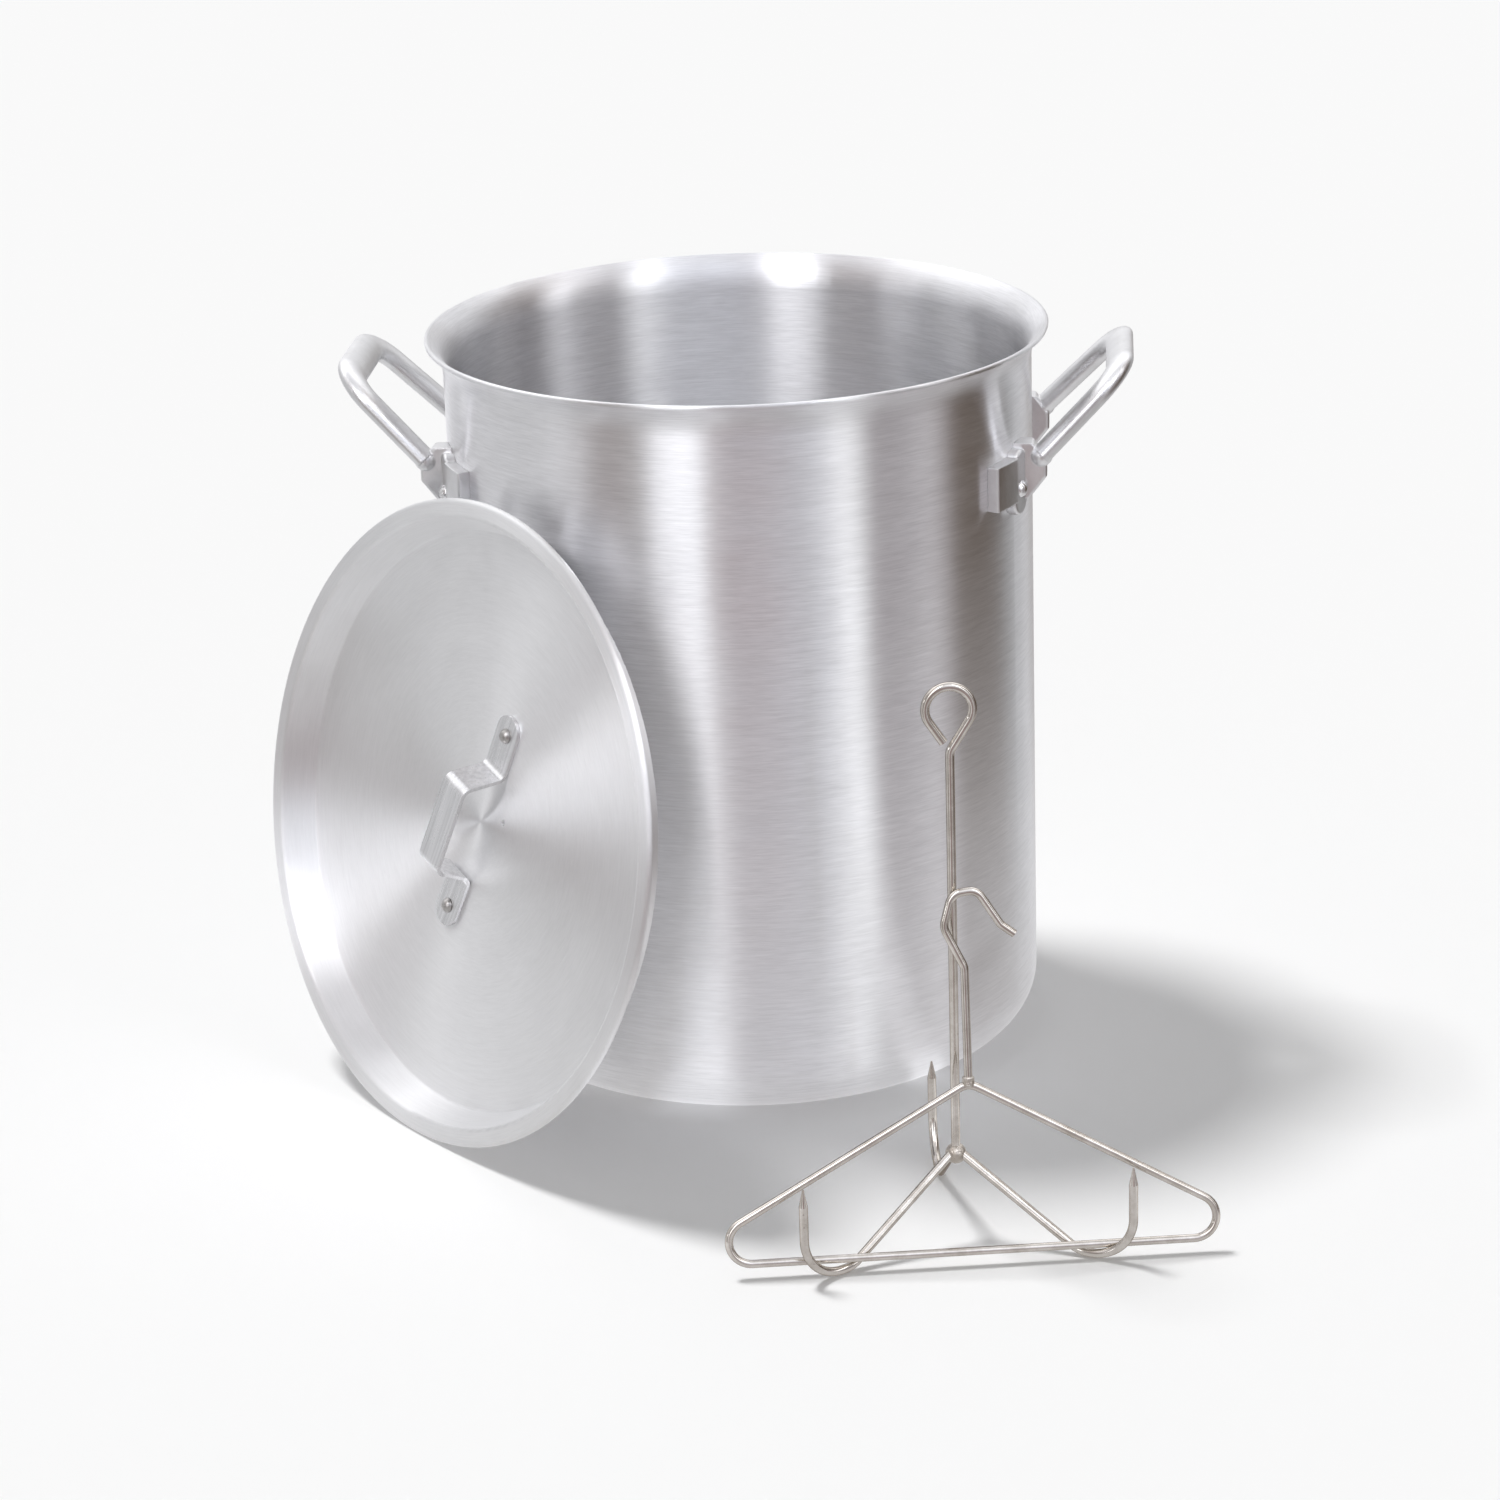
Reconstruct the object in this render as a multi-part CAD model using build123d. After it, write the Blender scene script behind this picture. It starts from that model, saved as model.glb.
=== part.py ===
from build123d import *
import math
import os

# Aluminium stock pot set: a tall riveted pot, its recessed lid, a wire poultry rack and the
# hanger-shaped lifting hook.  Millimetres, +Z up.  Origin: centre of the pot's underside.
# +X runs through the middle of the right-hand loop handle.

# ---- pot ----
POT_RADIUS = 155.0          # outside of the straight wall
POT_HEIGHT = 390.0
POT_WALL = 2.5
POT_CORNER = 28.0           # outside radius between wall and floor
LIP_DROP = 18.0             # height of the flared part of the wall
LIP_SWEEP = 57.0            # degrees the flare turns away from upright
LIP_BEND = 21.0             # radius of the flare on the inside face
LIP_EDGE = 1.25             # sheet past the end of the flare
LIP_EDGE_CUT = 0.88         # 45 degree cut that breaks both corners of the lip's edge

# ---- loop handles on the pot ----
BAR_WIDTH = 17.5            # oval bar, measured in the plane of the loop
BAR_DEPTH = 10.5            # oval bar, measured square to that plane
LOOP_ROOT = Vector(160.5, 0, 331)       # middle of the two arm roots
LOOP_REACH = 57.8           # root to centre of the outer bar, along the slope
LOOP_SLOPE = 45.5           # degrees above horizontal
LOOP_ROOT_HALF = 49.0       # half distance between the arm centres at the root
LOOP_END_HALF = 40.0        # half distance between the arm centres at the outer bar
LOOP_BEND = 20.0
FOOT_THICK = 3.2
FOOT_BOTTOM = 309.5
FOOT_TOP = 333.0
FOOT_ANGLES = (13.0, 30.5)  # where one foot starts and ends around the pot, from the handle middle
PAD_ANGLES = (22.5, 30.5)   # thicker block at the far end of each foot
PAD_THICK = 6.4
LOBE_THICK = 5.6            # flattened end of the arm, around the rivet
LOBE_WIDTH = 17.0
LOBE_BOTTOM = 304.0
LOBE_OVERRUN = 6.0          # lobe is longer than the foot by this much
LOBE_ROUNDING = 1.6
FOOT_BACKING = 2.0          # lobe material that reaches in to meet the wall
BOSS_WIDTH = 12.0           # knuckle under the arm, beside the rivet
BOSS_OFFSET = 46.0          # its middle, measured from the handle middle
BOSS_OUT = 163.5            # how far it stands out along +X
BOSS_TOP = 338.0
RIVET_ANGLE = 20.5
RIVET_HEIGHT = 315.0
RIVET_HEAD = 9.0
RIVET_DOME = 3.0
RIVET_SHANK = 5.0
RIVET_HOLE = 5.2

# ---- lid ----
LID_RADIUS = 167.2
LID_SHEET = 1.4
LID_RECESS_RADIUS = 150.9   # middle of the sheet at the bottom of the recess wall
LID_WALL_TOP = 158.3        # middle of the sheet at the top of the recess wall
LID_EDGE_DEPTH = 18.2       # recess depth at its wall, rim face to middle of the sheet
LID_CENTRE_DEPTH = 20.9     # recess depth at the centre
LID_RIM_TURN = 2.5          # rim turned down at the outside
LID_BEND = 1.6
VENT_HOLE = 3.2
VENT_AT = (19.6, 4.3)
STRAP_WIDTH = 18.0
STRAP_THICK = 2.0
STRAP_LENGTH = 127.0
STRAP_FOOT_BEND = 31.0      # half length where the feet turn up
STRAP_GRIP_HALF = 25.0
STRAP_RISE = 23.0
STRAP_BEND = 5.0
STRAP_TURN = -18.3          # handle turned about the lid's own axis
LID_RIVET_SPAN = 105.0
LID_RIVET_HEAD = 8.0
LID_RIVET_DOME = 3.0
LID_RIVET_SHANK = 4.0
LID_RIVET_HOLE = 4.2
SEAT = 0.05                 # gap under parts seated on the slightly coned lid panel

# ---- how the lid leans on the pot ----
LID_FACING = 223.0          # compass angle the lid's face points to
LID_LEAN = 11.6             # degrees off vertical
LID_STAND_ANGLE = 225.3     # compass angle of the lid's centre seen from the pot's axis
LID_STAND_RADIUS = 204.2

# ---- rack ----
RACK_WIRE = 2.2             # wire radius
RACK_AXIS = (120.0, -280.0)
RACK_FACING = 279.6         # compass angle midway between the two front prongs
HUB_HEIGHT = 46.0
PRONG_REACH = 92.0
PRONG_TOE = 64.0            # where the sloping leg would meet the ground
PRONG_HEIGHT = 51.5
PRONG_POINT = 9.0
LEG_BEND = 14.0
TOE_BEND = 22.0
NECK_HEIGHT = 252.5         # where the rod turns into the eye
EYE_RADIUS = 11.3
EYE_CENTRE = (-0.2, 21.0)   # eye centre measured from the neck
EYE_END_GAP = 5.5           # from the neck to the free end of the eye
NUGGET = 5.2                # weld nugget radius

# ---- lifting hook ----
HOOK_WIRE = 2.0
FRAME_HALF = 149.5          # half width where the sloping sides would meet the bottom bar
FRAME_HEIGHT = 84.0
FRAME_CORNER = 11.0
FRAME_TOP_BEND = 9.0
HOOK_LEAN = 9.9            # degrees the hook leans back onto the rod
HOOK_BAR_OUT = 35.0         # bottom bar in front of the rod's centre
HOOK_BAR_HEIGHT = 7.4
HOOK_SHIFT = 4.3            # hook stands this far to the right of the rod
HOOK_TURN = -1.2            # degrees the hook is turned out of line with the two front prongs


def polar(radius, degrees, z=0.0):
    """Point at a radius and compass angle."""
    a = math.radians(degrees)
    return Vector(radius * math.cos(a), radius * math.sin(a), z)


def bent_wire(points, radii):
    """Straight runs joined by circular bends; radii has one entry per inner corner."""
    pts = [Vector(*p) if not isinstance(p, Vector) else p for p in points]
    edges = []
    start = pts[0]
    for before, corner, after, radius in zip(pts, pts[1:], pts[2:], radii):
        back = (before - corner).normalized()
        ahead = (after - corner).normalized()
        half = math.acos(max(-1.0, min(1.0, back.dot(ahead)))) / 2
        reach = radius / math.tan(half)
        enter = corner + back * reach
        leave = corner + ahead * reach
        to_centre = (back + ahead).normalized()
        centre = corner + to_centre * (radius / math.sin(half))
        middle = centre - to_centre * radius
        edges.append(Line(start, enter).edge())
        edges.append(ThreePointArc(enter, middle, leave).edge())
        start = leave
    edges.append(Line(start, pts[-1]).edge())
    return Wire(edges)


def round_rod(path, radius):
    """Round bar swept along a path."""
    section = Plane(origin=path @ 0, z_dir=path % 0) * Circle(radius)
    return sweep(section, path=path)


def sector(inner, outer, low, high, start, end):
    """Piece of a tube between two compass angles."""
    a, b = math.radians(start), math.radians(end)
    m = (a + b) / 2
    corners = []
    for r in (inner, outer):
        corners.append([(r * math.cos(t), r * math.sin(t)) for t in (a, m, b)])
    near, far = corners
    outline = Wire([
        ThreePointArc(*near).edge(),
        Line(near[2], far[2]).edge(),
        ThreePointArc(far[2], far[1], far[0]).edge(),
        Line(far[0], near[0]).edge(),
    ])
    return Pos(0, 0, low) * extrude(make_face(outline.edges()), high - low)


def dome(head, height, shank, grip):
    """Rivet standing on z = 0 with its shank running down and a second head below."""
    radius = (head * head / 4 + height * height) / (2 * height)
    ball = Pos(0, 0, height - radius) * Sphere(radius)
    cap = ball & Pos(0, 0, height / 2) * Box(head * 1.2, head * 1.2, height)
    stem = Pos(0, 0, -grip / 2) * Cylinder(shank / 2, grip)
    low_height = height * 0.6
    low_radius = (head * head / 4 + low_height * low_height) / (2 * low_height)
    low_ball = Pos(0, 0, low_radius - low_height - grip) * Sphere(low_radius)
    low_cap = low_ball & Pos(0, 0, -grip - low_height / 2) * Box(head * 1.2, head * 1.2, low_height)
    return cap + stem + low_cap


# ---------------------------------------------------------------- pot
def make_pot():
    inner = POT_RADIUS - POT_WALL
    flare_base = POT_HEIGHT - LIP_DROP
    turn = math.radians(LIP_SWEEP)
    outer_bend = LIP_BEND - POT_WALL
    centre_x = inner + LIP_BEND

    def on_flare(radius, angle):
        return (centre_x - radius * math.cos(angle), flare_base + radius * math.sin(angle))

    inner_end = on_flare(LIP_BEND, turn)
    outer_end = on_flare(outer_bend, turn)

    def on_edge(start, onward, inward):
        """A point of the broken edge, past the flare's end and in from one of its faces."""
        return (
            start[0] + onward * math.sin(turn) - inward * math.cos(turn),
            start[1] + onward * math.cos(turn) + inward * math.sin(turn),
        )

    edge = [
        outer_end,
        on_edge(outer_end, LIP_EDGE - LIP_EDGE_CUT, 0),
        on_edge(outer_end, LIP_EDGE, LIP_EDGE_CUT),
        on_edge(inner_end, LIP_EDGE, -LIP_EDGE_CUT),
        on_edge(inner_end, LIP_EDGE - LIP_EDGE_CUT, 0),
        inner_end,
    ]
    drop = 1 - math.sqrt(0.5)
    in_corner = POT_CORNER - POT_WALL
    profile = [
        Line((0, 0), (POT_RADIUS - POT_CORNER, 0)),
        ThreePointArc(
            (POT_RADIUS - POT_CORNER, 0),
            (POT_RADIUS - POT_CORNER * drop, POT_CORNER * drop),
            (POT_RADIUS, POT_CORNER),
        ),
        Line((POT_RADIUS, POT_CORNER), (POT_RADIUS, flare_base)),
        ThreePointArc((POT_RADIUS, flare_base), on_flare(outer_bend, turn / 2), outer_end),
        *[Line(start, end) for start, end in zip(edge, edge[1:])],
        ThreePointArc(inner_end, on_flare(LIP_BEND, turn / 2), (inner, flare_base)),
        Line((inner, flare_base), (inner, POT_CORNER)),
        ThreePointArc(
            (inner, POT_CORNER),
            (inner - in_corner * drop, POT_WALL + in_corner * drop),
            (inner - in_corner, POT_WALL),
        ),
        Line((inner - in_corner, POT_WALL), (0, POT_WALL)),
        Line((0, POT_WALL), (0, 0)),
    ]
    face = Plane.XZ * make_face([e.edge() for e in profile])
    body = revolve(face, Axis.Z)
    for angle in rivet_angles():
        body -= rivet_frame(angle) * Cylinder(RIVET_HOLE / 2, 30)
    return body


def rivet_angles():
    """Compass angles of the four handle rivets, right handle first."""
    return [side + sign * RIVET_ANGLE for side in (0, 180) for sign in (-1, 1)]


def rivet_frame(angle):
    """Frame on the outside of the handle foot, z pointing away from the pot."""
    return Plane(
        origin=polar(POT_RADIUS + LOBE_THICK, angle, RIVET_HEIGHT),
        z_dir=polar(1, angle),
        x_dir=(0, 0, 1),
    )


def make_boss():
    """Knuckle that carries the arm down to its foot, running back along -Y from the origin."""
    side = Polyline(
        (POT_RADIUS - 12, BOSS_TOP),
        (BOSS_OUT - 7, BOSS_TOP),
        (BOSS_OUT, BOSS_TOP - 9),
        (BOSS_OUT, RIVET_HEIGHT + 5),
        (BOSS_OUT - 7, RIVET_HEIGHT - 4),
        (POT_RADIUS - 9, LOBE_BOTTOM),
        (POT_RADIUS - 12, LOBE_BOTTOM),
        close=True,
    )
    boss = extrude(Plane.XZ * make_face(side), BOSS_WIDTH)
    outer = boss.edges().filter_by_position(Axis.X, BOSS_OUT - 8, BOSS_OUT + 1)
    return fillet(outer, 2.0)


def make_handle():
    """Loop handle at +X with both feet; its back follows the pot wall."""
    rise = math.radians(LOOP_SLOPE)
    slope = Plane(
        origin=LOOP_ROOT,
        x_dir=(math.cos(rise), 0, math.sin(rise)),
        z_dir=(-math.sin(rise), 0, math.cos(rise)),
    )
    corners = [
        (0, -LOOP_ROOT_HALF, 0),
        (LOOP_REACH, -LOOP_END_HALF, 0),
        (LOOP_REACH, LOOP_END_HALF, 0),
        (0, LOOP_ROOT_HALF, 0),
    ]
    path = bent_wire(corners, [LOOP_BEND, LOOP_BEND])
    section = Plane(origin=path @ 0, z_dir=path % 0, x_dir=(0, 0, 1)) * Ellipse(BAR_DEPTH / 2, BAR_WIDTH / 2)
    handle = slope * sweep(section, path=path)
    wall = POT_RADIUS
    for sign in (-1, 1):
        low, high = sorted(sign * a for a in FOOT_ANGLES)
        pad_low, pad_high = sorted(sign * a for a in PAD_ANGLES)
        plate = sector(wall, wall + FOOT_THICK, FOOT_BOTTOM, FOOT_TOP, low, high)
        pad = sector(wall, wall + PAD_THICK, FOOT_BOTTOM, FOOT_TOP, pad_low, pad_high)
        pad = fillet(pad.edges().filter_by(Axis.Z).sort_by(lambda e: (e @ 0).X ** 2 + (e @ 0).Y ** 2)[-2:], 1.2)
        frame = rivet_frame(sign * RIVET_ANGLE)
        middle = (FOOT_TOP + LOBE_BOTTOM) / 2 - RIVET_HEIGHT
        outline = SlotOverall(FOOT_TOP - LOBE_BOTTOM + LOBE_OVERRUN, LOBE_WIDTH)
        lobe = fillet(extrude(outline, LOBE_THICK).edges().sort_by(Axis.Z)[-4:], LOBE_ROUNDING)
        lobe += extrude(outline, -FOOT_BACKING)
        root = LOOP_ROOT + Vector(0, sign * LOOP_ROOT_HALF, 0)
        elbow = Pos(root) * Sphere(BAR_DEPTH / 2 + 0.8)
        boss = Pos(0, sign * BOSS_OFFSET + BOSS_WIDTH / 2, 0) * make_boss()
        handle += plate + pad + frame * Pos(middle, 0, -LOBE_THICK) * lobe + elbow + boss
    handle -= Pos(0, 0, POT_HEIGHT / 2) * Cylinder(wall, POT_HEIGHT + 40)
    for sign in (-1, 1):
        handle -= rivet_frame(sign * RIVET_ANGLE) * Cylinder(RIVET_HOLE / 2, 40)
    return handle


def make_pot_rivet(angle):
    grip = LOBE_THICK + POT_WALL + SEAT * 2
    return rivet_frame(angle) * dome(RIVET_HEAD, RIVET_DOME, RIVET_SHANK, grip)


# ---------------------------------------------------------------- lid
def panel_height(radius):
    """Top face of the recessed panel, measured from the rim face."""
    share = (radius - 12) / (LID_RECESS_RADIUS - 12)
    middle = -LID_CENTRE_DEPTH + (LID_CENTRE_DEPTH - LID_EDGE_DEPTH) * share
    return middle + LID_SHEET / 2


def make_cover():
    half = LID_SHEET / 2
    line = bent_wire(
        [
            (0, 0, -LID_CENTRE_DEPTH),
            (12, 0, -LID_CENTRE_DEPTH),
            (LID_RECESS_RADIUS, 0, -LID_EDGE_DEPTH),
            (LID_WALL_TOP, 0, -half),
            (LID_RADIUS - half, 0, -half),
            (LID_RADIUS - half, 0, -LID_RIM_TURN),
        ],
        [LID_BEND] * 4,
    )
    flat = Plane.XZ.to_local_coords(line)
    sheet = Plane.XZ * trace(flat, line_width=LID_SHEET)
    cover = revolve(sheet, Axis.Z)
    turn = Rot(0, 0, STRAP_TURN)
    for sign in (-1, 1):
        cover -= turn * Pos(0, sign * LID_RIVET_SPAN / 2, -LID_CENTRE_DEPTH) * Cylinder(LID_RIVET_HOLE / 2, 20)
    cover -= Pos(VENT_AT[0], VENT_AT[1], -LID_CENTRE_DEPTH) * Cylinder(VENT_HOLE / 2, 20)
    return cover


def make_strap():
    """Bent strap handle of the lid, running along Y before it is turned."""
    half = STRAP_THICK / 2
    tip = STRAP_LENGTH / 2
    low_out = panel_height(tip) + half + SEAT
    low_in = panel_height(STRAP_FOOT_BEND) + half + SEAT
    top = low_in + STRAP_RISE
    line = bent_wire(
        [
            (-tip, low_out, 0),
            (-STRAP_FOOT_BEND, low_in, 0),
            (-STRAP_GRIP_HALF, top, 0),
            (STRAP_GRIP_HALF, top, 0),
            (STRAP_FOOT_BEND, low_in, 0),
            (tip, low_out, 0),
        ],
        [STRAP_BEND] * 4,
    )
    strip = Plane.YZ * trace(line, line_width=STRAP_THICK)
    strap = extrude(strip, STRAP_WIDTH / 2, dir=(1, 0, 0), both=True)
    plan = Rot(0, 0, 90) * SlotOverall(STRAP_LENGTH, STRAP_WIDTH)
    strap &= Pos(0, 0, -40) * extrude(plan, 80)
    for sign in (-1, 1):
        strap -= Pos(0, sign * LID_RIVET_SPAN / 2, -LID_CENTRE_DEPTH) * Cylinder(LID_RIVET_HOLE / 2, 20)
    return Rot(0, 0, STRAP_TURN) * strap


def make_lid_rivet(sign):
    span = LID_RIVET_SPAN / 2
    seat = panel_height(span + LID_RIVET_HEAD / 2) + STRAP_THICK + 2 * SEAT
    grip = seat - panel_height(span - LID_RIVET_HEAD / 2) + LID_SHEET + SEAT
    rivet = dome(LID_RIVET_HEAD, LID_RIVET_DOME, LID_RIVET_SHANK, grip)
    return Rot(0, 0, STRAP_TURN) * Pos(0, sign * span, seat) * rivet


def lid_frame():
    """Where the lid leans: its rim stands on the ground and its recess touches the pot."""
    lean = math.radians(LID_LEAN)
    level = polar(math.cos(lean), LID_FACING)
    face = Vector(level.X, level.Y, math.sin(lean))
    spot = polar(LID_STAND_RADIUS, LID_STAND_ANGLE)
    edge = LID_RADIUS * math.cos(lean) + LID_RIM_TURN * math.sin(lean)
    return Plane(origin=(spot.X, spot.Y, edge), x_dir=polar(1, LID_FACING + 90), z_dir=face)


# ---------------------------------------------------------------- rack
def rack_place(turn=0.0):
    """Frame of the rack: its own -Y faces the front, z up the rod."""
    return Pos(RACK_AXIS[0], RACK_AXIS[1], 0) * Rot(0, 0, RACK_FACING + 90 + turn)


def make_prong():
    """One J-shaped prong in the XZ plane, pointing along +X."""
    leg = Vector(PRONG_TOE, 0, RACK_WIRE) - Vector(0, 0, HUB_HEIGHT)
    start = Vector(0, 0, HUB_HEIGHT) + leg.normalized() * 4.3
    path = bent_wire(
        [
            start,
            (PRONG_TOE, 0, RACK_WIRE),
            (PRONG_REACH, 0, RACK_WIRE),
            (PRONG_REACH, 0, PRONG_HEIGHT - PRONG_POINT),
        ],
        [LEG_BEND, TOE_BEND],
    )
    point = Pos(PRONG_REACH, 0, PRONG_HEIGHT - PRONG_POINT / 2) * Cone(RACK_WIRE, 0.4, PRONG_POINT)
    return round_rod(path, RACK_WIRE) + point


def make_rod():
    """Upright rod that closes into the carrying eye; the eye faces the front."""
    neck = Vector(0, 0, NECK_HEIGHT)
    centre = neck + Vector(EYE_CENTRE[0], 0, EYE_CENTRE[1])
    to_centre = centre - neck
    swing = math.degrees(math.asin(EYE_RADIUS / to_centre.length))
    run = math.sqrt(to_centre.length ** 2 - EYE_RADIUS ** 2)
    heading = math.degrees(math.atan2(EYE_CENTRE[1], EYE_CENTRE[0]))

    def from_neck(length, degrees):
        a = math.radians(degrees)
        return neck + Vector(length * math.cos(a), 0, length * math.sin(a))

    right = from_neck(run, heading - swing)
    left = from_neck(run, heading + swing)
    tail = from_neck(EYE_END_GAP, heading + swing)
    top = centre + to_centre.normalized() * EYE_RADIUS
    lower = bent_wire([(0, 0, HUB_HEIGHT - 3), neck, right], [7.0])
    path = Wire(list(lower.edges()) + [ThreePointArc(right, top, left).edge(), Line(left, tail).edge()])
    return round_rod(path, RACK_WIRE)


# ---------------------------------------------------------------- lifting hook
def hook_place():
    """Plane of the hook inside the rack's frame: x across, y up the leaning hook."""
    lean = math.radians(HOOK_LEAN)
    return Plane(
        origin=(HOOK_SHIFT, -HOOK_BAR_OUT, HOOK_BAR_HEIGHT),
        x_dir=(1, 0, 0),
        z_dir=(0, -math.cos(lean), math.sin(lean)),
    )


def make_frame_wire():
    """Closed triangular grip with rounded corners."""
    low = Vector(0, 0, 0)
    path = bent_wire(
        [low, (FRAME_HALF, 0, 0), (0, FRAME_HEIGHT, 0), (-FRAME_HALF, 0, 0), low],
        [FRAME_CORNER, FRAME_TOP_BEND, FRAME_CORNER],
    )
    return round_rod(path, HOOK_WIRE)


def stem_base():
    """Height of the stem's lower end, just above the top bend of the grip."""
    slope = math.atan2(FRAME_HEIGHT, FRAME_HALF)
    cut = FRAME_TOP_BEND * (1 / math.cos(slope) - 1)
    return FRAME_HEIGHT - cut + HOOK_WIRE + 0.1


def make_hook_weld():
    """Bead around the joint of stem and grip."""
    bead = Rot(90, 0, 0) * Cylinder(HOOK_WIRE + 1.0, 5.0)
    bead = fillet(bead.edges(), 0.9)
    return Pos(0, stem_base(), 0) * bead


def make_stem_wire():
    """Stem and crook of the hook."""
    base = stem_base()
    points = [
        (0, base, 0),
        (0, 141, 0),
        (-9.5, 161, 0),
        (-5.0, 177.0, 0),
        (7.0, 178.5, 0),
        (18.0, 161.0, 0),
        (24.5, 156.0, 0),
    ]
    return round_rod(bent_wire(points, [9, 8, 7, 7, 6]), HOOK_WIRE)


pot_body = make_pot()
handle = make_handle()
cover = make_cover()
strap = make_strap()
prong = make_prong()
rod = make_rod()
frame_wire = make_frame_wire()
stem_wire = make_stem_wire()

nodes = {"pot_body": pot_body}
nodes["handle_right"] = handle
nodes["handle_left"] = Rot(0, 0, 180) * handle
for number, angle in enumerate(rivet_angles(), 1):
    nodes[f"pot_rivet_{number}"] = make_pot_rivet(angle)

lid_at = lid_frame()
nodes["lid_cover"] = lid_at * cover
nodes["lid_handle"] = lid_at * strap
nodes["lid_rivet_upper"] = lid_at * make_lid_rivet(1)
nodes["lid_rivet_lower"] = lid_at * make_lid_rivet(-1)

prong_turns = {"prong_left": 210, "prong_right": 330, "prong_back": 90}
nodes["rack_rod"] = rack_place() * rod
hub_weld = Pos(0, 0, HUB_HEIGHT - 2.5) * Sphere(NUGGET)
hub_weld -= rod
for name, turn in prong_turns.items():
    nodes[f"rack_{name}"] = rack_place(turn) * prong
    hub_weld -= Rot(0, 0, turn) * prong
nodes["rack_weld"] = rack_place() * hub_weld

hook_weld = make_hook_weld() - frame_wire - stem_wire
nodes["hook_stem"] = rack_place(HOOK_TURN) * (hook_place() * stem_wire)
nodes["hook_frame"] = rack_place(HOOK_TURN) * (hook_place() * frame_wire)
nodes["hook_weld"] = rack_place(HOOK_TURN) * (hook_place() * hook_weld)

for name, shape in nodes.items():
    export_step(shape, f"parts/{name}.step")
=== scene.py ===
import math

import bpy
from mathutils import Matrix, Vector

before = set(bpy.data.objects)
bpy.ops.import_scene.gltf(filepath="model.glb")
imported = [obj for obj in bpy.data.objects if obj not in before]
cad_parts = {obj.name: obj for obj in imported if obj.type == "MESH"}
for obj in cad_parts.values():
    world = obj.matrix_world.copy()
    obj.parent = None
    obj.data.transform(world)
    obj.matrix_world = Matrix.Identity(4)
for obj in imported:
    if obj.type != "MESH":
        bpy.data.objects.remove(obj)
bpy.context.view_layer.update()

# ---- where things stand, in metres and radians, in the set's own frame ----
UP = Vector((0.0, 0.0, 1.0))
POT_CENTRE = Vector((0.0, 0.0, 0.0))
LID_FACING = math.radians(223.0)        # the way the lid's face points, round from +X
LID_LEAN = math.radians(11.6)           # how far it leans off upright
LID_STAND_RADIUS = 0.2042               # its centre, from the pot's axis
LID_STAND_ANGLE = math.radians(225.3)   # and round from +X
LID_RADIUS = 0.1672
LID_RIM_TURN = 0.0025                   # height of the rim's turned-down edge
STRAP_TURN = math.radians(-18.3)        # how far the strap is turned from the lid's steepest line

CAMERA_TURN = math.radians(5.2)         # how far round from the set's front the camera stands
CAMERA_AWAY = 2.1314                    # level distance from the pot's axis
CAMERA_HEIGHT = 0.9249
CAMERA_PITCH = 0.3482                   # how far it looks down
CAMERA_ROLL = -0.0331                   # how far it is tipped to one side
CAMERA_LENS = 99.76                     # mm, on a sensor of the width below
SENSOR_WIDTH = 36.0
CLIP_END = 100.0


def around(vector, angle):
    """Vector turned about the upright axis."""
    return Matrix.Rotation(angle, 3, "Z") @ Vector(vector)


TO_CAMERA = around((0.0, -1.0, 0.0), CAMERA_TURN)
CAMERA_RIGHT = around((1.0, 0.0, 0.0), CAMERA_TURN)


def lid_axes():
    """Centre of the lid's rim face, its outward normal and the direction its strap runs along."""
    flat = Vector((math.cos(LID_FACING), math.sin(LID_FACING), 0.0))
    normal = flat * math.cos(LID_LEAN) + UP * math.sin(LID_LEAN)
    height = LID_RADIUS * math.cos(LID_LEAN) + LID_RIM_TURN * math.sin(LID_LEAN)
    x = LID_STAND_RADIUS * math.cos(LID_STAND_ANGLE)
    y = LID_STAND_RADIUS * math.sin(LID_STAND_ANGLE)
    upward = normal.cross(UP.cross(flat))
    along = Matrix.Rotation(STRAP_TURN, 3, normal) @ upward
    return Vector((x, y, height)), normal, along


LID_CENTRE, LID_NORMAL, STRAP_ALONG = lid_axes()


# ---------------------------------------------------------------- shader nodes
def colour_or_socket(value):
    return value if isinstance(value, bpy.types.NodeSocket) else (*value, 1.0)


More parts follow.
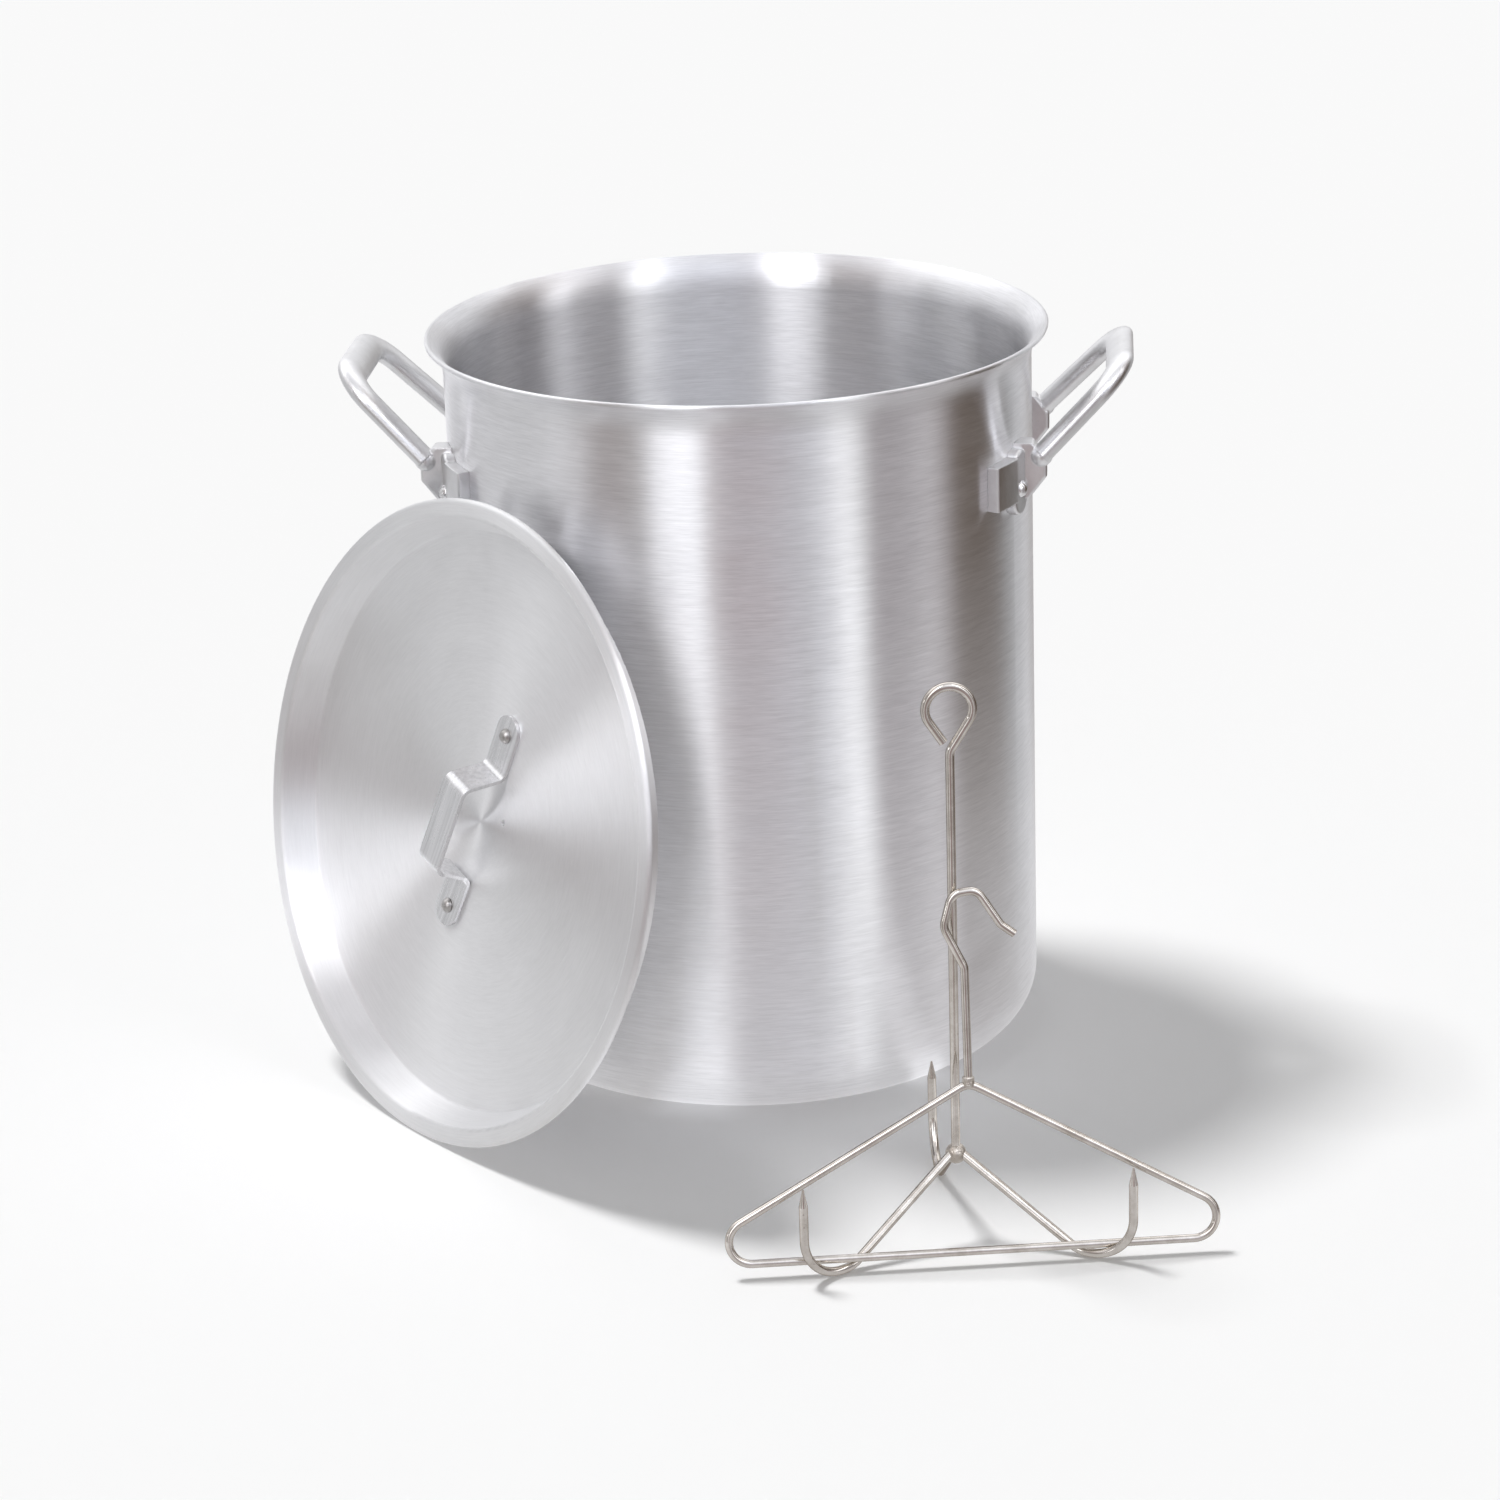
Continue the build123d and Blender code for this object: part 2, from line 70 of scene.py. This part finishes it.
class Graph:
    """Short names for building a shader out of nodes."""

    def __init__(self, tree):
        self.tree = tree
        tree.nodes.clear()

    def node(self, kind, **settings):
        made = self.tree.nodes.new(kind)
        for key, value in settings.items():
            setattr(made, key, value)
        return made

    def put(self, socket, value):
        """Links or sets a socket; None leaves it as it is."""
        if isinstance(value, bpy.types.NodeSocket):
            self.tree.links.new(value, socket)
        elif value is not None:
            socket.default_value = value

    def math(self, operation, a, b=None):
        n = self.node("ShaderNodeMath", operation=operation)
        self.put(n.inputs[0], a)
        self.put(n.inputs[1], b)
        return n.outputs[0]

    def total(self, first, *more):
        for value in more:
            first = self.math("ADD", first, value)
        return first

    def times(self, a, b):
        return self.math("MULTIPLY", a, b)

    def vector(self, operation, a, b=None, scale=None):
        n = self.node("ShaderNodeVectorMath", operation=operation)
        self.put(n.inputs[0], a)
        self.put(n.inputs[1], b)
        if scale is not None:
            self.put(n.inputs["Scale"], scale)
        scalar = operation in ("DOT_PRODUCT", "LENGTH")
        return n.outputs["Value" if scalar else "Vector"]

    def spread(self, value, low, high, to_low, to_high, smooth=False):
        """Maps low..high to to_low..to_high and holds the ends."""
        n = self.node("ShaderNodeMapRange", clamp=True)
        if smooth:
            n.interpolation_type = "SMOOTHSTEP"
        for socket, number in zip(n.inputs, (value, low, high, to_low, to_high)):
            self.put(socket, number)
        return n.outputs[0]

    def share(self, value, low, high, most=1.0):
        """0 up to low, then growing evenly to most at high, and held there."""
        return self.spread(value, low, high, 0.0, most)

    def rise(self, value, ends):
        return self.spread(value, *ends, 0.0, 1.0, smooth=True)

    def fall(self, value, ends):
        return self.spread(value, *ends, 1.0, 0.0, smooth=True)

    def near(self, value, middle, ends):
        """1 close to the middle, falling to 0 between two distances from it."""
        return self.fall(self.math("ABSOLUTE", self.math("SUBTRACT", value, middle)), ends)

    def noise(self, place, scale, detail, rough, distortion=0.0):
        n = self.node("ShaderNodeTexNoise")
        self.put(n.inputs["Vector"], place)
        self.put(n.inputs["Scale"], scale)
        self.put(n.inputs["Detail"], detail)
        self.put(n.inputs["Roughness"], rough)
        self.put(n.inputs["Distortion"], distortion)
        return n.outputs[0]

    def facets(self, place, scale):
        n = self.node("ShaderNodeTexVoronoi", feature="SMOOTH_F1")
        self.put(n.inputs["Vector"], place)
        self.put(n.inputs["Scale"], scale)
        return n.outputs[0]

    def ramp(self, value, stops):
        """Colour from stops of place and colour; Blender takes at most 32."""
        n = self.node("ShaderNodeValToRGB")
        elements = n.color_ramp.elements
        while len(elements) < len(stops):
            elements.new(0.5)
        for element, (position, _) in zip(elements, stops):
            element.position = position
        for element, (_, colour) in zip(elements, stops):
            element.color = (*colour, 1.0)
        self.put(n.inputs[0], value)
        return n.outputs[0]

    def blend(self, share, a, b):
        """Colour from a to b. The mix node keeps its colour sockets at places 6, 7 and 2."""
        n = self.node("ShaderNodeMix", data_type="RGBA")
        self.put(n.inputs["Factor"], share)
        self.put(n.inputs[6], colour_or_socket(a))
        self.put(n.inputs[7], colour_or_socket(b))
        return n.outputs[2]

    def bump(self, height, depth, normal=None, strength=1.0):
        n = self.node("ShaderNodeBump")
        self.put(n.inputs["Strength"], strength)
        self.put(n.inputs["Distance"], depth)
        self.put(n.inputs["Height"], height)
        self.put(n.inputs["Normal"], normal)
        return n.outputs[0]

    def soften(self, radius):
        """The surface's normal, with its edges rounded to a radius."""
        n = self.node("ShaderNodeBevel", samples=4)
        self.put(n.inputs["Radius"], radius)
        return n.outputs[0]

    def place(self):
        return self.node("ShaderNodeTexCoord").outputs["Object"]


def new_material(name):
    material = bpy.data.materials.new(name)
    material.use_nodes = True
    g = Graph(material.node_tree)
    return material, g, g.node("ShaderNodeOutputMaterial").inputs["Surface"]


def metal(name, build):
    """A bare-metal material; build(graph, surface inputs) adds its own detail."""
    material, g, out = new_material(name)
    surface = g.node("ShaderNodeBsdfPrincipled")
    surface.inputs["Metallic"].default_value = 1.0
    g.put(out, surface.outputs[0])
    build(g, surface.inputs)
    return material


def darker(tone, share):
    return tuple(c * (1.0 - share) for c in tone)


def lighter(tone, share):
    return tuple(min(c * (1.0 + share), 1.0) for c in tone)


# ---------------------------------------------------------------- surfaces
# Lengths and depths are metres.

# Marks on turned sheet: rings per metre along its profile, changes round its axis, noise detail.
HAIR_RINGS = (2000.0, 15.0, 3.0)
LINE_RINGS = (700.0, 6.0, 4.0)
BAND_RINGS = (75.0, 0.4, 2.0)
SCUFF_RINGS = (1500.0, 5.0, 1.0)
SMUDGE_TONE = (0.70, 0.68, 0.66)
SHEET_ROUNDING = 0.0012         # its edges are shaded round by this much
SHEET_WAVES = 0.00010           # depth of its slow unevenness

CAST_ROUNDING = 0.0011
CAST_PITS = 0.00004
CAST_GRIME = (0.58, 0.55, 0.52)

STRIP_ROUNDING = 0.0005
STRIP_GRAIN = 0.00004
STRIP_STRETCH = 0.97            # how much of the noise's run along the strip is taken out

RIVET_ROUNDING = 0.0005
RIVET_FACETS = 0.00025

PLATE_BRIGHT = (0.72, 0.685, 0.64)
PLATE_DULL = (0.54, 0.50, 0.45)
PLATE_CHIP = (0.40, 0.36, 0.32)
PLATE_EDGE_TINT = (0.34, 0.30, 0.26, 1.0)
PLATE_RIPPLE = 0.00008

WELD_HEAT = [(0.30, (0.62, 0.59, 0.55)), (0.55, (0.52, 0.47, 0.41)), (0.75, (0.38, 0.34, 0.33))]
WELD_LUMPS = 0.0007


def spun(axis, centre, tone, roughness, groove, contrast, handling):
    """Turned sheet metal: fine rings about an axis, with highlights spread across the rings.

    groove is the rings' depth, contrast how far tone and gloss vary among them, and handling how
    strongly smudges show.
    """

    def build(g, inputs):
        place = g.vector("SUBTRACT", g.place(), tuple(centre))
        height = g.vector("DOT_PRODUCT", place, tuple(axis))
        level = g.vector("SUBTRACT", place, g.vector("SCALE", tuple(axis), scale=height))
        outward = g.vector("NORMALIZE", level)
        ring = g.vector("CROSS_PRODUCT", tuple(axis), outward)
        profile = g.math("ADD", height, g.vector("LENGTH", level))

        def rings(per_metre, turns, detail):
            along = g.vector("SCALE", tuple(axis), scale=g.times(profile, per_metre))
            around_axis = g.vector("SCALE", outward, scale=turns)
            return g.noise(g.vector("ADD", along, around_axis), 1.0, detail, 0.6)

        hair = rings(*HAIR_RINGS)
        line = rings(*LINE_RINGS)
        band = rings(*BAND_RINGS)
        scuff = g.share(rings(*SCUFF_RINGS), 0.66, 0.74)
        smudge = g.noise(place, 9.0, 4.0, 0.62, distortion=0.4)
        wipe = g.noise(place, 38.0, 3.0, 0.6)

        lit = g.share(g.math("ADD", line, hair), 0.72, 1.28)
        colour = g.blend(lit, darker(tone, 0.11 * contrast), lighter(tone, 0.06 * contrast))
        colour = g.blend(g.share(smudge, 0.45, 0.75, handling), colour, SMUDGE_TONE)
        g.put(inputs["Base Color"], colour)

        rough = g.total(
            roughness - 0.08 * contrast,
            g.times(line, 0.12 * contrast),
            g.times(band, 0.04 * contrast),
            g.spread(smudge, 0.42, 0.72, -0.02, 0.05),
            g.spread(wipe, 0.35, 0.7, -0.012, 0.02),
            g.times(scuff, 0.04),
        )
        g.put(inputs["Roughness"], rough)

        # the grooves run round the axis, so the gloss is stretched across them
        inputs["Anisotropic"].default_value = 1.0
        turned = g.node("ShaderNodeVectorTransform", vector_type="VECTOR",
                        convert_from="OBJECT", convert_to="WORLD")
        g.put(turned.inputs[0], ring)
        rounded = g.soften(SHEET_ROUNDING)
        across = g.vector("CROSS_PRODUCT", rounded, turned.outputs[0])
        g.put(inputs["Tangent"], g.vector("NORMALIZE", across))

        relief = g.math("ADD", g.times(hair, 0.45), g.times(line, 0.45))
        relief = g.math("SUBTRACT", relief, g.times(scuff, 0.06))
        waves = g.math("ADD", g.times(band, contrast), g.times(smudge, 1.5))
        g.put(inputs["Normal"], g.bump(waves, SHEET_WAVES, g.bump(relief, groove, rounded)))

    return build


def cast(tone, roughness):
    """Cast and tumbled aluminium: rounded edges, soft pits and a slightly uneven gloss."""

    def build(g, inputs):
        place = g.place()
        lumps = g.noise(place, 90.0, 3.0, 0.5)
        grain = g.noise(place, 1100.0, 3.0, 0.6)
        patch = g.noise(place, 34.0, 4.0, 0.62)
        rub = g.noise(place, 260.0, 3.0, 0.6)

        colour = g.blend(g.share(patch, 0.3, 0.7), darker(tone, 0.14), lighter(tone, 0.06))
        colour = g.blend(g.share(rub, 0.60, 0.78, 0.25), colour, CAST_GRIME)
        g.put(inputs["Base Color"], colour)

        worn = g.share(rub, 0.45, 0.75, 0.07)
        g.put(inputs["Roughness"], g.total(roughness - 0.05, g.times(patch, 0.10), worn))

        relief = g.math("ADD", g.times(lumps, 4.0), g.times(grain, 0.10))
        g.put(inputs["Normal"], g.bump(relief, CAST_PITS, g.soften(CAST_ROUNDING)))

    return build


def drawn_strap(along, tone, roughness):
    """Rolled strip with a fine grain that runs along its length."""

    def build(g, inputs):
        place = g.place()
        run = g.vector("DOT_PRODUCT", place, tuple(along))
        back = g.vector("SCALE", tuple(along), scale=g.times(run, -STRIP_STRETCH))
        squeezed = g.vector("ADD", place, back)
        grain = g.noise(squeezed, 2600.0, 3.0, 0.6)
        streak = g.noise(squeezed, 500.0, 2.0, 0.5)
        patch = g.noise(place, 45.0, 3.0, 0.6)

        colour = g.blend(g.share(streak, 0.3, 0.7), darker(tone, 0.16), lighter(tone, 0.06))
        g.put(inputs["Base Color"], colour)

        dull = g.spread(patch, 0.35, 0.7, -0.03, 0.06)
        g.put(inputs["Roughness"], g.total(roughness - 0.06, g.times(grain, 0.08), dull))
        g.put(inputs["Normal"], g.bump(grain, STRIP_GRAIN, g.soften(STRIP_ROUNDING)))

    return build


def peened(tone, roughness):
    """Rivet heads: bright, with small hammer facets."""

    def build(g, inputs):
        place = g.place()
        grain = g.noise(place, 1500.0, 3.0, 0.6)
        colour = g.blend(g.share(grain, 0.35, 0.7), darker(tone, 0.2), tone)
        g.put(inputs["Base Color"], colour)
        g.put(inputs["Roughness"], g.math("ADD", roughness, g.times(grain, 0.10)))
        hammered = g.bump(g.facets(place, 520.0), RIVET_FACETS, g.soften(RIVET_ROUNDING), strength=0.8)
        g.put(inputs["Normal"], hammered)

    return build


def plated(roughness):
    """Nickel-plated wire: bright, faintly warm and rippled, with dull spots and small chips."""

    def build(g, inputs):
        place = g.place()
        ripple = g.noise(place, 240.0, 3.0, 0.55)
        spot = g.noise(place, 85.0, 4.0, 0.65)
        grain = g.noise(place, 2200.0, 2.0, 0.5)
        chip = g.share(g.noise(place, 330.0, 2.0, 0.5), 0.70, 0.76)

        colour = g.blend(g.share(spot, 0.35, 0.7), PLATE_BRIGHT, PLATE_DULL)
        g.put(inputs["Base Color"], g.blend(g.times(chip, 0.6), colour, PLATE_CHIP))
        inputs["Specular Tint"].default_value = PLATE_EDGE_TINT

        dull = g.spread(spot, 0.35, 0.75, -0.03, 0.10)
        g.put(inputs["Roughness"], g.total(roughness, dull, g.times(chip, 0.15)))

        relief = g.math("ADD", ripple, g.times(grain, 0.12))
        g.put(inputs["Normal"], g.bump(relief, PLATE_RIPPLE))

    return build


def welded():
    """Weld metal: lumpy, duller than the wire, with heat colour."""

    def build(g, inputs):
        place = g.place()
        lumps = g.noise(place, 420.0, 3.0, 0.6)
        heat = g.noise(place, 130.0, 3.0, 0.6)
        g.put(inputs["Base Color"], g.ramp(heat, WELD_HEAT))
        g.put(inputs["Roughness"], g.spread(lumps, 0.3, 0.7, 0.22, 0.42))
        g.put(inputs["Normal"], g.bump(lumps, WELD_LUMPS))

    return build


POT_TONE = (0.87, 0.87, 0.885)
LID_TONE = (0.94, 0.94, 0.945)
CAST_TONE = (0.80, 0.80, 0.805)
STRAP_TONE = (0.82, 0.82, 0.83)
RIVET_TONE = (0.88, 0.88, 0.88)
LID_RIVET_TONE = (0.50, 0.485, 0.47)

POT_WALL = metal("pot_wall", spun(
    UP, POT_CENTRE, POT_TONE, roughness=0.34, groove=0.000028, contrast=1.0, handling=0.22))
HANDLE = metal("pot_handle", cast(CAST_TONE, roughness=0.33))
POT_RIVET = metal("pot_rivets", peened(RIVET_TONE, roughness=0.18))
LID_SHEET = metal("lid_sheet", spun(
    LID_NORMAL, LID_CENTRE, LID_TONE, roughness=0.40, groove=0.000012, contrast=0.4, handling=0.10))
STRAP = metal("lid_strap", drawn_strap(STRAP_ALONG, STRAP_TONE, roughness=0.27))
LID_RIVET = metal("lid_rivets", peened(LID_RIVET_TONE, roughness=0.26))
WELD = metal("weld", welded())
WIRE = metal("plated_wire", plated(roughness=0.07))

# finish by the start of a node's name
FINISHES = {
    "pot_body": POT_WALL,
    "handle": HANDLE,
    "pot_rivet": POT_RIVET,
    "lid_cover": LID_SHEET,
    "lid_handle": STRAP,
    "lid_rivet": LID_RIVET,
    "rack_weld": WELD,
    "hook_weld": WELD,
    "rack": WIRE,
    "hook": WIRE,
}


def dress():
    """Gives every CAD node its finish; the longest matching name wins."""
    for name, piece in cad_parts.items():
        key = max((k for k in FINISHES if name.startswith(k)), key=len)
        piece.data.materials.clear()
        piece.data.materials.append(FINISHES[key])


# ---------------------------------------------------------------- studio
# Brightness all round the studio, as degrees to the right of the camera and colour: what stands
# low around the set, the windows and walls higher up, and what the floor throws back.
ROOM_LOW = [
    (-172, (0.60, 0.60, 0.61)),
    (-169, (1.05, 1.05, 1.08)),
    (-155, (1.05, 1.05, 1.08)),
    (-151, (0.66, 0.66, 0.68)),
    (-100, (0.64, 0.64, 0.65)),
    (-76, (0.66, 0.66, 0.67)),
    (-64, (0.50, 0.48, 0.48)),
    (-56, (0.36, 0.32, 0.31)),
    (-50, (0.36, 0.32, 0.31)),
    (-38, (0.42, 0.40, 0.39)),
    (-34, (0.81, 0.81, 0.83)),
    (-17, (0.81, 0.81, 0.83)),
    (-14, (0.39, 0.33, 0.32)),
    (-6, (0.35, 0.27, 0.27)),
    (10, (0.38, 0.30, 0.30)),
    (24, (0.44, 0.42, 0.44)),
    (38, (0.50, 0.49, 0.50)),
    (41, (0.86, 0.86, 0.86)),
    (48, (0.86, 0.86, 0.86)),
    (51, (0.29, 0.25, 0.26)),
    (73, (0.33, 0.30, 0.31)),
    (84, (0.27, 0.23, 0.23)),
    (93, (0.090, 0.058, 0.034)),
    (116, (0.090, 0.060, 0.040)),
    (128, (0.30, 0.30, 0.30)),
    (146, (0.76, 0.76, 0.78)),
    (151, (0.46, 0.44, 0.43)),
    (161, (0.46, 0.44, 0.43)),
    (172, (0.60, 0.60, 0.61)),
]
ROOM_HIGH = [
    (-180, (1.10, 1.10, 1.12)),
    (-150, (1.15, 1.15, 1.17)),
    (-110, (0.84, 0.84, 0.86)),
    (-98, (0.72, 0.72, 0.73)),
    (-88, (0.60, 0.59, 0.60)),
    (-64, (0.55, 0.53, 0.54)),
    (-56, (0.37, 0.34, 0.34)),
    (-46, (0.37, 0.34, 0.34)),
    (-40, (0.55, 0.54, 0.54)),
    (-33, (2.50, 2.50, 2.58)),
    (-17, (2.50, 2.50, 2.58)),
    (-13, (0.60, 0.60, 0.64)),
    (6, (0.76, 0.78, 0.85)),
    (33, (0.90, 0.92, 1.00)),
    (37, (2.30, 2.33, 2.40)),
    (45, (2.30, 2.33, 2.40)),
    (49, (0.37, 0.35, 0.36)),
    (72, (0.34, 0.33, 0.34)),
    (77, (1.70, 1.70, 1.74)),
    (84, (1.70, 1.70, 1.74)),
    (90, (0.20, 0.17, 0.16)),
    (112, (0.20, 0.17, 0.16)),
    (130, (0.74, 0.74, 0.75)),
    (145, (0.95, 0.95, 0.97)),
    (180, (0.95, 0.95, 0.97)),
]
FLOOR_STREAKS = [
    (-180, (0.86, 0.86, 0.87)),
    (-60, (0.84, 0.84, 0.85)),
    (-26, (0.68, 0.67, 0.67)),
    (-19, (0.94, 0.94, 0.96)),
    (-10, (0.94, 0.94, 0.96)),
    (-2, (0.72, 0.71, 0.72)),
    (14, (0.70, 0.69, 0.70)),
    (34, (0.74, 0.74, 0.75)),
    (37, (1.10, 1.10, 1.12)),
    (43, (1.10, 1.10, 1.12)),
    (47, (0.74, 0.73, 0.74)),
    (180, (0.86, 0.86, 0.87)),
]

# Heights in the room are sines of the angle above the horizon. A pair is where a change starts
# and ends.
LOW_TO_HIGH = (-0.04, 0.36)             # ROOM_LOW gives way to ROOM_HIGH
WALLS_BRIGHTEN = (0.38, 0.72)           # the walls grow brighter upwards
WALL_TOP_GAIN = 1.9                     # how many times brighter they get
CEILING = (0.78, 0.95)                  # the walls give way to the ceiling
CEILING_GLOW = (0.90, 0.90, 0.93)
GROUND = (-0.95, -0.55)                 # the ground gives way to the walls
GROUND_GLOW = (0.62, 0.62, 0.63)

# A small lamp at the left, which puts the bright wedges on the lid.
SIDE_LAMP_TURN = -70.0                  # degrees to the right of the camera
SIDE_LAMP_HEIGHT = 0.155
SIDE_LAMP_SIDES = (0.020, 0.030)        # where it fades sideways, as shares of a full turn
SIDE_LAMP_ENDS = (0.020, 0.045)         # where it fades upwards and downwards
SIDE_LAMP_GLOW = (2.9, 2.9, 3.0)

FLOOR_RADIUS = 20.0
FLOOR_DROP = 0.0003                     # how far it lies under the set
FLOOR_TONE = (0.93, 0.93, 0.93)
FLOOR_FILL = 0.45                       # light the open floor gets from all round
BOUNCE_RADIUS = 1.0
BOUNCE_DROP = 0.001
BOUNCE_FADE = (0.24, 0.86)              # where it fades, in metres from the pot's axis
DISC_SIDES = 96

KEY_STRENGTH = 1.95
KEY_FROM = (-0.62, 0.42, 1.75)          # to the camera's right, away from it, and up
KEY_SPREAD = math.radians(13.0)


def turn_share(g, way):
    """How far a direction is turned to the right of the camera, -180 to 180 degrees as 0 to 1."""
    right = g.vector("DOT_PRODUCT", way, tuple(CAMERA_RIGHT))
    front = g.vector("DOT_PRODUCT", way, tuple(TO_CAMERA))
    return g.share(g.math("ARCTAN2", right, front), -math.pi, math.pi)


def share_of(degrees):
    return (degrees + 180.0) / 360.0


def round_ramp(g, share, stops):
    """Colour by the share of a full turn, from stops given in degrees."""
    return g.ramp(share, [(share_of(angle), colour) for angle, colour in stops])


def mix_shaders(g, share, a, b):
    n = g.node("ShaderNodeMixShader")
    for socket, value in zip(n.inputs, (share, a, b)):
        g.put(socket, value)
    return n.outputs[0]


def room_colour(g):
    """What the metal mirrors: walls and windows all round, a side lamp, ceiling and ground."""
    way = g.node("ShaderNodeTexCoord").outputs["Generated"]
    height = g.vector("DOT_PRODUCT", way, tuple(UP))
    share = turn_share(g, way)

    low, high = (round_ramp(g, share, stops) for stops in (ROOM_LOW, ROOM_HIGH))
    walls = g.blend(g.rise(height, LOW_TO_HIGH), low, high)
    gain = g.spread(height, *WALLS_BRIGHTEN, 1.0, WALL_TOP_GAIN, smooth=True)
    walls = g.vector("SCALE", walls, scale=gain)

    beside = g.near(share, share_of(SIDE_LAMP_TURN), SIDE_LAMP_SIDES)
    level = g.near(height, SIDE_LAMP_HEIGHT, SIDE_LAMP_ENDS)
    walls = g.blend(g.times(beside, level), walls, SIDE_LAMP_GLOW)

    room = g.blend(g.rise(height, CEILING), walls, CEILING_GLOW)
    return g.blend(g.fall(height, GROUND), room, GROUND_GLOW)


def make_world():
    """Soft studio: plain fill for the floor, and tall soft boxes for the metal to mirror."""
    world = bpy.data.worlds.new("studio")
    bpy.context.scene.world = world
    world.use_nodes = True
    g = Graph(world.node_tree)
    mirrored = g.node("ShaderNodeBackground")
    g.put(mirrored.inputs["Color"], room_colour(g))

    path = g.node("ShaderNodeLightPath")
    open_air = g.times(path.outputs["Is Camera Ray"], 1.0 - FLOOR_FILL)
    plain = g.node("ShaderNodeBackground")
    g.put(plain.inputs["Color"], (1.0, 1.0, 1.0, 1.0))
    g.put(plain.inputs["Strength"], g.math("ADD", open_air, FLOOR_FILL))

    seen = mix_shaders(g, path.outputs["Is Glossy Ray"], plain.outputs[0], mirrored.outputs[0])
    g.put(g.node("ShaderNodeOutputWorld").inputs["Surface"], seen)


def flat_disc(name, radius, z, material):
    """A level disc under the set, part of the stage and not of the object."""
    angles = [2 * math.pi * step / DISC_SIDES for step in range(DISC_SIDES)]
    points = [(radius * math.cos(angle), radius * math.sin(angle), z) for angle in angles]
    mesh = bpy.data.meshes.new(name)
    mesh.from_pydata(points, [], [tuple(range(DISC_SIDES))])
    mesh.materials.append(material)
    disc = bpy.data.objects.new(name, mesh)
    bpy.context.scene.collection.objects.link(disc)
    return disc


def make_floor():
    """The pale floor the set stands on. The metal doesn't mirror it."""
    material, g, out = new_material("pale_floor")
    paint = g.node("ShaderNodeBsdfDiffuse")
    g.put(paint.inputs["Color"], (*FLOOR_TONE, 1.0))
    g.put(out, paint.outputs[0])
    floor = flat_disc("floor", FLOOR_RADIUS, -FLOOR_DROP, material)
    floor.visible_glossy = False


def make_floor_bounce():
    """The light the floor throws back into the metal, seen only in reflections."""
    material, g, out = new_material("floor_light")
    place = g.place()
    glow = g.node("ShaderNodeEmission")
    g.put(glow.inputs["Color"], round_ramp(g, turn_share(g, place), FLOOR_STREAKS))
    clear = g.node("ShaderNodeBsdfTransparent")
    outwards = g.rise(g.vector("LENGTH", place), BOUNCE_FADE)
    g.put(out, mix_shaders(g, outwards, glow.outputs[0], clear.outputs[0]))
    bounce = flat_disc("floor_bounce", BOUNCE_RADIUS, -BOUNCE_DROP, material)
    bounce.visible_camera = False
    bounce.visible_diffuse = False
    bounce.visible_shadow = False


def make_key():
    """Broad key light from the upper left and a little behind; it throws the soft shadow."""
    data = bpy.data.lights.new("key", "SUN")
    data.energy = KEY_STRENGTH
    data.angle = KEY_SPREAD
    lamp = bpy.data.objects.new("key", data)
    bpy.context.scene.collection.objects.link(lamp)
    lamp.rotation_mode = "QUATERNION"
    lamp.rotation_quaternion = around(KEY_FROM, CAMERA_TURN).to_track_quat("Z", "Y")
    lamp.visible_glossy = False


def make_camera():
    """Looks down at the set from its front, through a long lens."""
    data = bpy.data.cameras.new("camera")
    data.lens = CAMERA_LENS
    data.sensor_width = SENSOR_WIDTH
    data.clip_end = CLIP_END
    camera = bpy.data.objects.new("camera", data)
    bpy.context.scene.collection.objects.link(camera)
    forward = -TO_CAMERA * math.cos(CAMERA_PITCH) - UP * math.sin(CAMERA_PITCH)
    right = forward.cross(UP).normalized()
    above = right.cross(forward)
    side = right * math.cos(CAMERA_ROLL) + above * math.sin(CAMERA_ROLL)
    crown = above * math.cos(CAMERA_ROLL) - right * math.sin(CAMERA_ROLL)
    pose = Matrix((side, crown, -forward)).transposed().to_4x4()
    pose.translation = TO_CAMERA * CAMERA_AWAY + UP * CAMERA_HEIGHT
    camera.matrix_world = pose
    bpy.context.scene.camera = camera


dress()
make_world()
make_floor()
make_floor_bounce()
make_key()
make_camera()
bpy.context.scene.view_settings.view_transform = "Standard"
